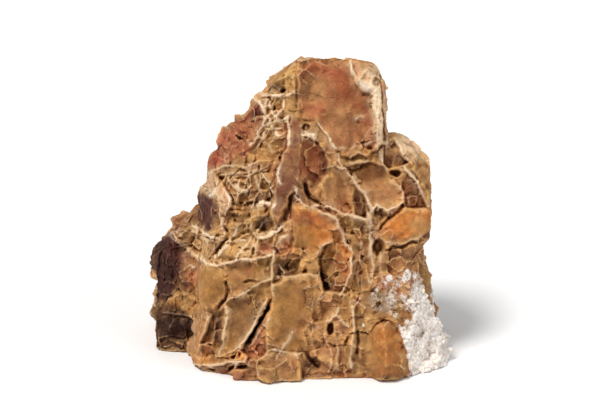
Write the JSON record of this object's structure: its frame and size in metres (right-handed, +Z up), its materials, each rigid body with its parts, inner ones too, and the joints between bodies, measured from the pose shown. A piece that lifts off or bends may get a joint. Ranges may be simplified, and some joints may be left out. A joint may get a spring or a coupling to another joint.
{
  "type": "maple leaf rock",
  "caption": "Upright rough limestone piece with a stepped crown, thin raised seams around flat plates and a flat foot; rests on a surface as an aquascape or display stone.",
  "frame": {"origin": "under the middle of the stone's bounding box, on the surface that it rests on", "axes": "+Z up, towards the crown; -Y out of the front, the face that is usually shown; +X to the right of that face"},
  "size_m": [0.1756, 0.1226, 0.1838],
  "materials": {
    "stone": "rough, dry, matt; ochre and red-brown plates with pale raised seams"
  },
  "bodies": {
    "root": {"rock": "stone"}
  },
  "joints": []
}
